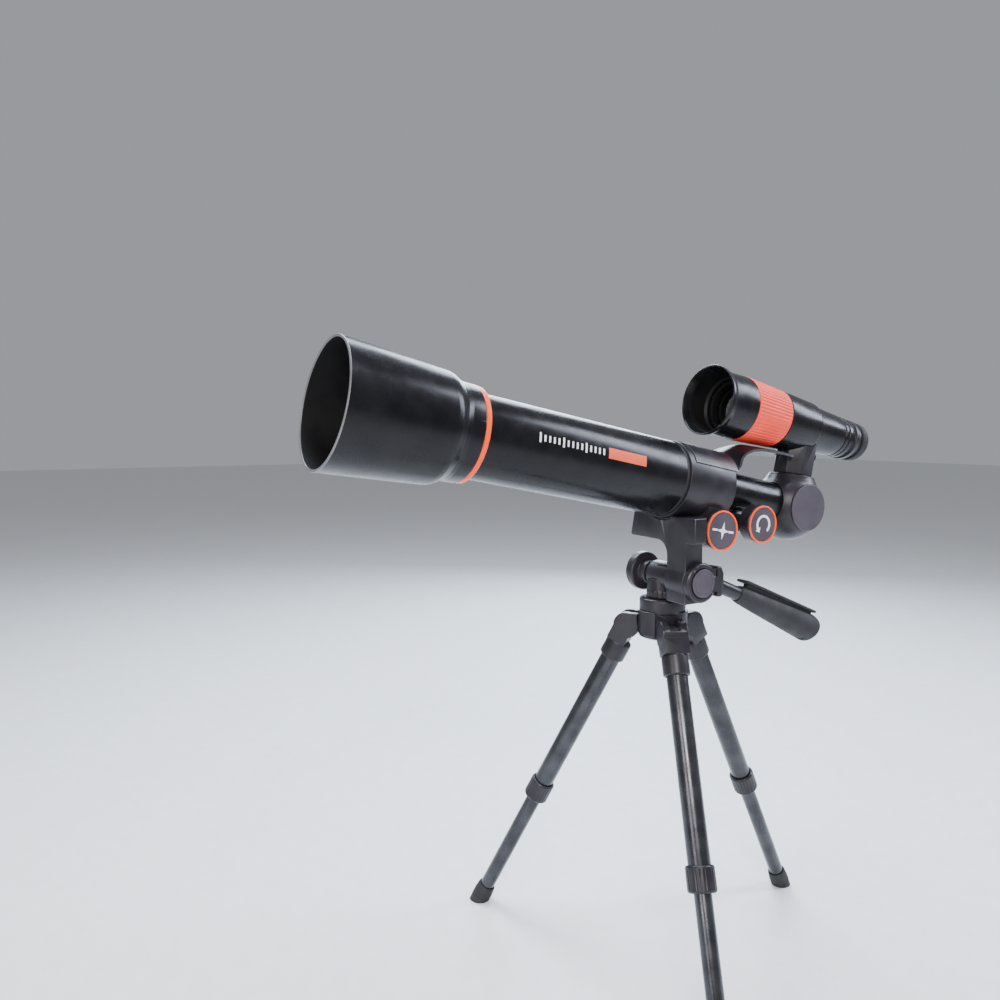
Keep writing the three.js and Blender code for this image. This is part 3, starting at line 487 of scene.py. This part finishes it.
finish(lathe([(23.6, 0), (23.6, 10.9), (24.5, 10.9), (24.7, 10.6), (24.7, 0)], "X", (-BOSS_S, BOSS_U), 96),
       "badge_face", TELESCOPE, ["badge_disc"])
finish(lathe(pipe(12.3, 11.2, 23.6, 25.0), "X", (-BOSS_S, BOSS_U), 96, 0.5), "badge_rim", TELESCOPE, ["badge_ring"])


def star(cy, cz, big, small, points=4):
    out = []
    for k in range(points * 2):
        r = small if k % 2 else big
        a = math.pi * k / points
        out.append((cy + r * math.sin(a), cz + r * math.cos(a)))
    return out


emblem = [extrude(star(-BOSS_S, BOSS_U, 5.2, 1.5), 24.7, 24.86)]
for sign in (-1, 1):
    a, b = sorted((-BOSS_S + sign * 4.6, -BOSS_S + sign * 8.6))
    emblem.append(box(24.7, 24.86, a, b, BOSS_U - 0.65, BOSS_U + 0.65))
finish(merged(emblem), "badge_emblem", TELESCOPE, [], "tilt_head", "disc_grey", INK_WHITE, 30)

# ------------------------------------------------------------------ focus knobs
for side, name in ((1, "near"), (-1, "far")):
    profile = [(20.3, 0), (20.3, 2.3), (13.8, 2.3), (13.8, 8.7), (14.5, 10.4), (16.2, 11.7), (23.2, 11.7), (23.8, 11.2), (23.8, 0)]
    grip = lambda t, a, r: -0.07 * max(0.0, math.cos(36 * t)) ** 2 if r > 11.5 and 16.5 < abs(a) < 23 else 0
    finish(lathe([(x * side, r) for x, r in profile], "X", (-PINION_S, PINION_U), 288, 0.4, grip),
           f"focus_wheel_{name}", TELESCOPE, [f"focus_knob_{name}"])
finish(lathe([(24.1, 0), (24.1, 10.3), (24.8, 10.3), (25, 10), (25, 0)], "X", (-PINION_S, PINION_U), 96),
       "wheel_face", TELESCOPE, ["knob_disc"])
finish(lathe(pipe(11.7, 10.6, 24.1, 25.3), "X", (-PINION_S, PINION_U), 96, 0.45), "wheel_rim", TELESCOPE, ["knob_ring"])


def turn_arrow(cy, cz, r, width):
    """A round arrow that shows the direction of turning."""
    outer, inner = [], []
    for k in range(33):
        a = math.radians(-40 + 260 * k / 32)
        outer.append((cy + (r + width / 2) * math.cos(a), cz + (r + width / 2) * math.sin(a)))
        inner.append((cy + (r - width / 2) * math.cos(a), cz + (r - width / 2) * math.sin(a)))
    a = math.radians(220)
    tip = (cy + r * math.cos(a) + 2.6 * math.sin(a) * -1, cz + r * math.sin(a) + 2.6 * math.cos(a))
    wide = [(cy + (r + d) * math.cos(a), cz + (r + d) * math.sin(a)) for d in (width * 1.5, -width * 1.5)]
    return outer + [wide[0], tip, wide[1]] + inner[::-1]


finish(extrude(turn_arrow(-PINION_S, PINION_U, 5.2, 1.5), 25.0, 25.16), "wheel_arrow", TELESCOPE, [], "focus_pinion",
       "disc_grey", INK_WHITE, 30)

# ------------------------------------------------------------------ elbow, tower, arch
ELBOW_S, VIEW_U = -92.0, 53.7
BALL = 23.0
arc = [(BALL * math.sin(a), BALL * math.cos(a)) for a in
       [math.asin(17 / BALL) * (k / 12 - 1) for k in range(25)]]
ball = lathe([(-17, 0)] + arc + [(17, 0)], "X", (-ELBOW_S, 0), 128, 0.3)
ball = common(ball, box(-30, 30, -ELBOW_S - 40, -ELBOW_S + 40, -40, 18.5))
collar = lathe([(10, 0), (10, 19), (14, 17.6), (17, 16.2), (19, 15.1), (20.5, 14.6), (20.5, 0)], "Z", (0, -ELBOW_S), 96, 0.6)
collar = common(collar, box(-16.9, 16.9, -ELBOW_S - 40, -ELBOW_S + 40, -40, 30))
ball = cut(join(ball, collar),
           lathe(rod(13.3, -76.3, -50), seg=96), lathe(rod(11.6, -92, -60), seg=96),
           lathe(rod(10.2, 0, 30), "Z", (0, -ELBOW_S), 64))
ball = repaired(cut(repaired(ball), lathe(rod(13.6, -18, 18), "X", (-ELBOW_S, 0), 100)))
finish(ball, "elbow_shell", TELESCOPE, ["elbow_housing"])
for side, name in ((1, "near"), (-1, "far")):
    profile = [(17.3, 0), (17.3, 15.4), (18.2, 15.4), (18.6, 15), (18.6, 0)]
    finish(lathe([(x * side, r) for x, r in profile], "X", (-ELBOW_S, 0), 128), f"elbow_disc_{name}", TELESCOPE,
           [f"elbow_cap_{name}"])


def viewer_plug(margin):
    return lathe([(-33.5, 0), (-33.5, 20 + margin), (-63.5, 19 + margin), (-93.7, 17.4 + margin), (-95.5, 15.9 + margin),
                  (-131.3, 13.7 + margin), (-131.3, 0)], at=(0, VIEW_U), seg=96, soft=0.0)


eight = [(13.2 * math.sin(math.pi / 8 + math.pi * k / 4), -ELBOW_S + 13.2 * math.cos(math.pi / 8 + math.pi * k / 4))
         for k in range(8)]
column = bevelled(extrude(eight, 20.8, 50.8, "XY"), 0.7, 3, 30)
column = cut(column, lathe(rod(10.2, 0, 53.7), "Z", (0, -ELBOW_S), 64), viewer_plug(0.3))
finish(column, "tower_column", TELESCOPE, ["tower"])


def resampled(path, n):
    lengths = [0.0]
    for a, b in zip(path, path[1:]):
        lengths.append(lengths[-1] + math.dist(a, b))
    out = []
    for i in range(n):
        d = lengths[-1] * i / (n - 1)
        k = max(j for j in range(len(path) - 1) if lengths[j] <= d + 1e-9)
        t = (d - lengths[k]) / (lengths[k + 1] - lengths[k])
        out.append(tuple(a + (b - a) * t for a, b in zip(path[k], path[k + 1])))
    return out


def smoothed(path, rounds=3):
    for _ in range(rounds):
        path = [path[0]] + [tuple((a + 2 * b + c) / 4 for a, b, c in zip(*t)) for t in zip(path, path[1:], path[2:])] + [path[-1]]
    return path


RIDGE = [(-20.6, 23.7), (-25.5, 25), (-31.8, 28.4), (-35.8, 30.6), (-40, 32.0), (-50, 32.6), (-62, 33.2), (-78.3, 33.8)]
EDGE = [(-20.6, 12), (-26.6, 14), (-26.4, 18), (-27.4, 22), (-31, 25.4), (-37.2, 28.4), (-45.7, 30.4), (-56.6, 31.4),
        (-66, 32), (-78.3, 32.4)]
ROWS = 60
ridge, edge = smoothed(resampled(RIDGE, ROWS)), smoothed(resampled(EDGE, ROWS))
grid = []
for i in range(ROWS):
    half = 16.5 - 5.5 * (i / (ROWS - 1)) ** 1.5
    row = []
    for j in range(33):
        t = -1 + 2 * j / 32
        s = ridge[i][0] + (edge[i][0] - ridge[i][0]) * t * t
        u = ridge[i][1] + (edge[i][1] - ridge[i][1]) * t * t
        row.append(Vector((half * t, -s, u)))
    grid.append(row)
web = sheet_solid(grid, 1.6)
if min(v.co.z for v in web.data.vertices) > min(p.z for r in grid for p in r) - 0.1:
    bpy.data.objects.remove(web)
    web = sheet_solid([r[::-1] for r in grid], 1.6)
saddle = sector(23.9, 22.7, 13, -21.6, 60)
web = cut(join(saddle, web), lathe(rod(13.3, -60, 20), seg=96), viewer_plug(0.3))
eight_clear = [(13.5 * math.sin(math.pi / 8 + math.pi * k / 4), -ELBOW_S + 13.5 * math.cos(math.pi / 8 + math.pi * k / 4))
               for k in range(8)]
web = cut(web, extrude(eight_clear, 0, 60, "XY"), )
finish(web, "saddle_arch", TELESCOPE, ["arch_bracket"])

finish(cut(lathe(pipe(13, 11.6, -76, 12), seg=96), box(-2.9, 2.9, 26.7, 55.3, -15, -9)), "slide_tube", TELESCOPE, ["drawtube"])

# ------------------------------------------------------------------ viewer
def torus(cx, cy, cz, big, small):
    bm = bmesh.new()
    rings = []
    for i in range(40):
        a = 2 * math.pi * i / 40
        ring = []
        for j in range(14):
            b = 2 * math.pi * j / 14
            r = big + small * math.cos(b)
            ring.append(bm.verts.new((cx + small * math.sin(b), cy + r * math.cos(a), cz + r * math.sin(a))))
        rings.append(ring)
    for i in range(40):
        for j in range(14):
            a, b = rings[i], rings[(i + 1) % 40]
            bm.faces.new((a[j], b[j], b[(j + 1) % 14], a[(j + 1) % 14]))
    return to_object(bm)


barrel = lathe([
    (-24.5, 14.2), (-24.5, 16.6), (-63.5, 16.6), (-63.5, 19), (-78, 18.3), (-93.2, 17.45), (-94.3, 16.9), (-95.5, 15.95),
    (-112, 14.9), (-121.5, 14.3), (-121.8, 13.7), (-122.6, 13.7), (-122.9, 14.2), (-125.6, 14.05), (-125.9, 13.4),
    (-126.8, 13.4), (-127.1, 13.95), (-130, 13.8), (-131.3, 13.1), (-131.3, 12.2), (-105.7, 12.2), (-97.7, 14.2)], at=(0, VIEW_U), seg=128, soft=0.3)
barrel = cut(barrel, lathe(rod(10.2, 0, VIEW_U), "Z", (0, -ELBOW_S), 64))
barrel = join(barrel, torus(0, 109, 36.2, 2.5, 0.8))
finish(barrel, "viewer_barrel", TELESCOPE, ["viewer_body"])
# Painted shade: the front inside of the barrel gets the darker lining.
paint(barrel, BORE_SHADE_BLACK, lambda c: (lambda s, r: s > -60 and r < 15.5)(*tube_coordinates(c, VIEW_U)))

bell = finish(lathe([
    (-23.2, 16.9), (-21.7, 18.5), (-10.7, 19.2), (-6.3, 21.1), (-5.7, 21.5), (-5.9, 22.1), (-6.3, 22.3), (-7.9, 22.1),
    (-11.7, 20.4), (-20, 20.3), (-30.7, 20.6), (-30.7, 16.9)], at=(0, VIEW_U), seg=144, soft=0.45),
    "viewer_bell", TELESCOPE, ["bell_hood"])
# Painted shade: the inside of the bell gets the darker lining.
paint(bell, BORE_SHADE_BLACK, lambda c: (lambda s, r: s > -23.2 and r < 20.0 and s < -7.4)(*tube_coordinates(c, VIEW_U)))

RIBS = 54


def ribbed(t, along, r):
    inside = -62.2 < along < -32.0 and r > 18
    return 0.42 * (abs(math.cos(RIBS * t / 2)) ** 0.7 - 1.0) if inside else 0.0


finish(lathe([(-63.1, 16.9), (-63.1, 18.6), (-62.7, 19), (-61.9, 19.05), (-61.8, 19.05), (-47, 19.85), (-32.3, 20.6), (-32.2, 20.6),
              (-31.5, 20.7), (-31.1, 20.3), (-31.1, 16.9)], at=(0, VIEW_U), seg=RIBS * 8, soft=0.15, ripple=ribbed),
       "viewer_focus_ring", TELESCOPE, ["grip_ring"])
# The lens seat sits deep in the bell and takes the darker lining as painted shade.
finish(lathe([(-30, 12.4), (-30, 13.9), (-38, 13.9), (-38, 11), (-36.4, 11), (-36.4, 12.4)], at=(0, VIEW_U), seg=96),
       "viewer_lens_seat", TELESCOPE, ["finder_cell"], material=BORE_SHADE_BLACK)
finish(lathe([(-32.4, 0), (-32.55, 3), (-33, 6), (-33.7, 9.2), (-34.6, 12.1), (-36, 12.1), (-36, 0)], at=(0, VIEW_U), seg=96, soft=0.2),
       "viewer_front_lens", TELESCOPE, ["finder_lens"])
finish(lathe([(-123, 9.8), (-123, 11.9), (-131.6, 11.9), (-131.6, 12.5), (-133.8, 12.5), (-134.1, 13.9), (-137.3, 13.7),
              (-137.6, 12.3), (-141.7, 12.2), (-141.7, 8.6), (-138.4, 8.6), (-138.4, 9.8)], at=(0, VIEW_U), seg=128),
       "eyepiece_tube", TELESCOPE, ["eye_tube"])
finish(lathe([(-142, 8.6), (-142, 13.4), (-146.5, 13.2), (-148, 12.6), (-148.6, 11.6), (-148.6, 10), (-147.4, 9), (-143.4, 8.4)],
             at=(0, VIEW_U), seg=128, soft=0.6), "eyepiece_cup", TELESCOPE, ["eyecup"])

# ------------------------------------------------------------------ tripod head
TILT_Y, TILT_Z = -9.0, -57.5


def lying(r):
    return moved(lathe(rod(r, -80, 80), seg=128, soft=0), Matrix.Rotation(-ELEVATION, 4, "X"))


outline = [(-26.2, -18.5), (-29.2, -32.4), (-29.0, -33.4), (-27.7, -33.9)]
outline += [(-4 + 9 * math.sin(a), -42.9 + 9 * math.cos(a)) for a in [math.pi / 2 * k / 10 for k in range(11)]]
outline += [(5, -70.5), (21.6, -70.5), (21.6, -33.9), (28.2, -33.9), (29.2, -32.9), (29.2, -18.5)]
tee = bevelled(extrude(outline, -18.8, -5.2, "XZ"), 0.9, 3, 35)
tee = join(tee, lathe([(5, 0), (5, 11.4), (5.5, 11.8), (21.1, 11.8), (21.6, 11.4), (21.6, 0)], "X", (TILT_Y, TILT_Z), 72))
corners = [moved(box(-5, 5, -5, 5, -35, -17), Matrix.Translation((side * 30.2, -4.2, 0)) @ Matrix.Rotation(math.pi / 4, 4, "Z"))
           for side in (-1, 1)]
tee = cut(tee, *corners, lying(25), lathe(rod(4.3, 4, 22.6), "X", (TILT_Y, TILT_Z), 40), lathe(rod(3.3, -35, -18), "Z", (0, -12), 32),
          lathe(rod(5.8, -35, -29.3), "Z", (0, -12), 40))
finish(tee, "tee_bracket", UPRIGHT, ["tilt_bracket"])

disc = lathe([(21.9, 4.3), (21.9, 11.6), (22.3, 12), (25.3, 12), (26.3, 11), (26.3, 9), (23.5, 9), (23.5, 4.3)], "X", (TILT_Y, TILT_Z), 96)
lug_outline = [(12.2, -9.5), (15.5, -9.5), (17, -7), (17, 4.5), (14.8, 9), (12.2, 9)]
lug = bevelled(extrude([(TILT_Y + y, TILT_Z + z) for y, z in lug_outline], 12, 26.3), 0.8, 3, 20)
bridge = box(21.9, 26.3, TILT_Y + 6, TILT_Y + 14, TILT_Z - 6, TILT_Z + 8)
HANDLE = Matrix.Translation((18, TILT_Y, TILT_Z + 4)) @ Matrix.Rotation(math.radians(-22.5), 4, "X")
clamp = cut(join(disc, bridge, lug), lathe(rod(9, 23.5, 31.9), "X", (TILT_Y, TILT_Z), 72),
            moved(lathe(rod(4.7, -114, -14.2), seg=64), HANDLE),
            box(11.9, 27.9, TILT_Y + 10.4, TILT_Y + 11.4, TILT_Z + 3, TILT_Z + 12))
finish(clamp, "clamp_ring", UPRIGHT, ["tilt_clamp"])
finish(lathe([(26.4, 0), (26.4, 8.6), (27, 8.6), (27.2, 8.3), (27.2, 7.2), (26.95, 7), (26.95, 6.6), (27.2, 6.4), (27.2, 0)],
             "X", (TILT_Y, TILT_Z), 96, 0.1), "clamp_disc", UPRIGHT, ["tilt_cap"])
finish(lathe(rod(4.4, -74, -14.5), seg=96, soft=0.5), "handle_rod", UPRIGHT @ HANDLE, ["handle_bar"])

GRIP_START, GRIP_END, GRIP_DROP = 42.7, 114.0, 2.5
grip = lathe([(-38.7, 0), (-38.7, 5.0), (-42.7, 5.9), (-62.7, 7.1), (-86, 8.3), (-110, 9.5), (-113, 8.9), (-114, 7),
              (-114, 0)], seg=128, soft=1.0)
for vertex in grip.data.vertices:
    share = min(1.0, max(0.0, (vertex.co.y - GRIP_START) / (GRIP_END - GRIP_START)))
    vertex.co.z -= GRIP_DROP * share
rail = bevelled(box(-5, 5, 40.7, 109, 8, 9.8), 0.7, 3)
grip = join(grip, box(-2, 2, 44.7, 108, 3, 9), rail)
slant = moved(box(-20, 20, 0, 20, -30, 20), Matrix.Translation((0, 113, 3)) @ Matrix.Rotation(-0.3, 4, "X"))
notch = moved(box(-14, 14, -1.6, 1.6, -1.6, 1.6), Matrix.Translation((0, 104.5, -11.6)) @ Matrix.Rotation(math.pi / 4, 4, "X"))
grip = cut(grip, lathe(rod(4.7, -75, -32), seg=64), slant, notch)
finish(bevelled(grip, 0.3, 2, 40), "handle_sleeve", UPRIGHT @ HANDLE, ["handle_grip"])

finish(lathe([(-32.4, 0), (-32.4, 6.8), (-32.1, 7.1), (-32.1, 7.6), (-32.4, 7.9), (-32.4, 9.5), (-31.6, 11.5), (-30.4, 12.3), (-26, 12.3),
              (-24.8, 11.6), (-24.4, 7.4), (-19.5, 7), (-19.5, 4.3), (-28.4, 4.3), (-28.4, 0)], "X", (TILT_Y, TILT_Z), 128, 0.5),
       "clamp_wheel", UPRIGHT, ["tilt_knob"])


def fluted(t, along, r):
    return -0.55 * max(0.0, math.cos(14 * t)) ** 2 if r > 9 and along < -66.5 else 0.0


neck = lathe([(-71.2, 0), (-71.2, 9.8), (-70.9, 10.1), (-67.5, 10.1), (-66.4, 9.8), (-62, 9.6), (-59.5, 9.4), (-59.5, 0)], "Z", PAN, 224, 0.3, fluted)
pan = join(lathe([(-16, 0), (-16, 8), (-15.4, 8.5), (4.2, 8.5), (4.7, 8), (4.7, 0)], "X", (TILT_Y, TILT_Z), 96), neck)
pan = cut(pan, lathe(rod(4.3, -20, 6), "X", (TILT_Y, TILT_Z), 40), lathe(rod(3.3, -72.2, -64.4), "Z", PAN, 40))
finish(pan, "pan_barrel", UPRIGHT, ["pan_base"])


def drum_ribs(t, along, r):
    return -0.5 * max(0.0, math.cos(30 * t)) ** 2 if r > 15 and -93.5 < along < -79.6 else 0.0


drum = lathe([(-96.7, 0), (-96.7, 12.6), (-95.7, 14.6), (-93.7, 15.6), (-93.6, 15.6), (-79.5, 15.6), (-79.4, 15.6), (-79.2, 15.3), (-79.2, 0)],
             "Z", PAN, 300, 0.2, drum_ribs)
shift = Matrix.Translation((*PAN, 0))


def around(obj, heading):
    return moved(obj, shift @ Matrix.Rotation(math.radians(heading), 4, "Z"))


drum = cut(drum, *[around(box(12.6, 40, -8.5, 8.5, -102, -74), h) for h in HEADINGS.values()])
TONGUE = [(11, PIVOT_Z + 4.4), (11, PIVOT_Z - 4.4)]
TONGUE += [(PIVOT_R + 4.4 * math.cos(a), PIVOT_Z + 4.4 * math.sin(a)) for a in
           [math.pi * (k / 24 - 0.5) for k in range(25)]]
tongues = []
for heading in HEADINGS.values():
    tongues.append(around(extrude(TONGUE, -3.2, 3.2, "XZ"), heading))
cap = lathe([(-80.2, 0), (-80.2, 14.3), (-72.5, 14.3), (-71.5, 13.3), (-71.5, 0)], "Z", PAN, 128, 0.5)
drum = join(drum, cap, *tongues)
holes = [around(moved(lathe(rod(1.9, -4, 4), seg=24), Matrix.Translation((PIVOT_R, 0, PIVOT_Z))), h) for h in HEADINGS.values()]
drum = cut(drum, *holes, lathe(rod(3.3, -97.7, -70.2), "Z", PAN, 40), lathe(rod(6.2, -97.7, -91.7), "Z", PAN, 40))
finish(drum, "hub_drum", UPRIGHT, ["hub_body"])

# ------------------------------------------------------------------ legs
for name, heading in HEADINGS.items():
    place = leg_frame(heading)
    socket = lathe([(-25, 0), (-25, 7.6), (-24.4, 8.1), (-13.4, 8.1), (-12.4, 7.4), (-12.4, 0)], "Z", (0, 0), 72)
    wheel = lathe([(-8, 0), (-8, 7.8), (-7.4, 8.3), (7.4, 8.3), (8, 7.8), (8, 0)], seg=72)
    neck = bevelled(box(-5, 7.4, -8, 8, -13, 0), 0.6, 2)
    corner = moved(bevelled(box(-7.5, 0, -8, 8, -3, 8), 0.6, 2), Matrix.Rotation(SPLAY, 4, "Y"))
    fork = cut(join(wheel, neck, socket, corner), box(-20, 6, -3.5, 3.5, -6, 20), box(-20, 20, -3.5, 3.5, 0, 20),
               lathe(rod(6.7, -30, -14.5), "Z", (0, 0), 64))
    fork = join(fork, lathe(rod(1.6, -7, 7), seg=24))
    finish(fork, f"knuckle_{name}", place, [f"leg_knuckle_{name}"])
    finish(lathe(pipe(6.4, 5.2, -138, -14.8), "Z", (0, 0), 96), f"upper_tube_{name}", place, [f"leg_upper_{name}"])
    grooves = lambda t, a, r: -0.35 * max(0.0, math.cos(20 * t)) ** 2 if r > 7.9 and -140.5 < a < -129.5 else 0
    finish(lathe([(-142, 5.2), (-142, 7.4), (-141, 8.1), (-140, 8.1), (-130, 8.1), (-129, 8.1), (-128, 7.4), (-128, 6.7),
                  (-138.3, 6.7), (-138.3, 5.2)], "Z", (0, 0), 200, 0.3, grooves), f"lock_collar_{name}", place, [f"leg_collar_{name}"])
    finish(lathe(pipe(4.9, 4.0, -227.7, -104), "Z", (0, 0), 96), f"lower_tube_{name}", place, [f"leg_lower_{name}"])
    boot = lathe([(-242, 0), (-242, 6.2), (-236, 6.35), (-231.5, 6.55), (-231.1, 6.15), (-230.3, 6.1), (-229.9, 6.55), (-228, 6.45),
                  (-223, 6), (-222, 5.5), (-222, 5.2), (-228, 5.2), (-228, 0)], "Z", (0, 0), 96, 0.25)
    floor_cut = moved(box(-30, 30, -30, 30, -30, 0), Matrix.Translation((0, 0, -LEG_LENGTH)) @ Matrix.Rotation(SPLAY, 4, "Y"))
    finish(cut(boot, floor_cut), f"boot_{name}", place, [f"leg_foot_{name}"])

# ------------------------------------------------------------------ CAD nodes that stay as they are
for node, obj in frame["nodes"].items():
    obj.data.materials.clear()
    obj.data.materials.append(MATERIALS[SLOTS[node]])

# ------------------------------------------------------------------ floor, light, camera
bpy.ops.mesh.primitive_grid_add(x_subdivisions=40, y_subdivisions=40, size=14, location=(0, 0, -0.0002))
ground = bpy.context.object
ground.name = "ground"
ground.data.materials.append(surface("ground", (0.78, 0.785, 0.80), 0.6, 400, 0.04, vary=0.02, spread=0.05))

world = bpy.data.worlds.new("studio")
bpy.context.scene.world = world
world.use_nodes = True
world.node_tree.nodes["Background"].inputs["Color"].default_value = (0.86, 0.89, 0.95, 1)
world.node_tree.nodes["Background"].inputs["Strength"].default_value = 0.4


def area(name, location, target, size, power, color=(1, 1, 1)):
    data = bpy.data.lights.new(name, "AREA")
    data.shape, data.size, data.size_y, data.energy, data.color = "RECTANGLE", size[0], size[1], power, color
    obj = bpy.data.objects.new(name, data)
    obj.location = location
    obj.rotation_euler = (Vector(target) - Vector(location)).to_track_quat("-Z", "Y").to_euler()
    bpy.context.scene.collection.objects.link(obj)


area("top", (-0.35, 0.0, 1.25), (0, 0, 0.3), (0.45, 1.3), 30, (0.80, 0.90, 1.0))
area("key", (1.2, -0.9, 1.1), (0, 0, 0.28), (0.5, 0.5), 24, (1.0, 0.97, 0.95))
area("side", (0.35, 1.0, 0.95), (0, 0, 0.3), (0.35, 0.8), 16, (0.80, 0.84, 1.0))
area("edge", (0.3, -0.95, 0.5), (0, 0, 0.25), (0.3, 0.6), 5, (1.0, 0.96, 1.0))
area("rim", (-0.9, 0.7, 0.8), (0, 0, 0.3), (0.4, 1.0), 14, (0.78, 0.88, 1.0))

camera = bpy.data.objects.new("camera", bpy.data.cameras.new("camera"))
camera.data.lens, camera.data.sensor_width = 30.59, 36
camera.data.clip_start = 0.01
camera.location = (0.3976, -0.3233, 0.3359)
camera.rotation_euler = Vector((-0.86099, 0.50119, -0.08668)).to_track_quat("-Z", "Y").to_euler()
bpy.context.scene.collection.objects.link(camera)
bpy.context.scene.camera = camera
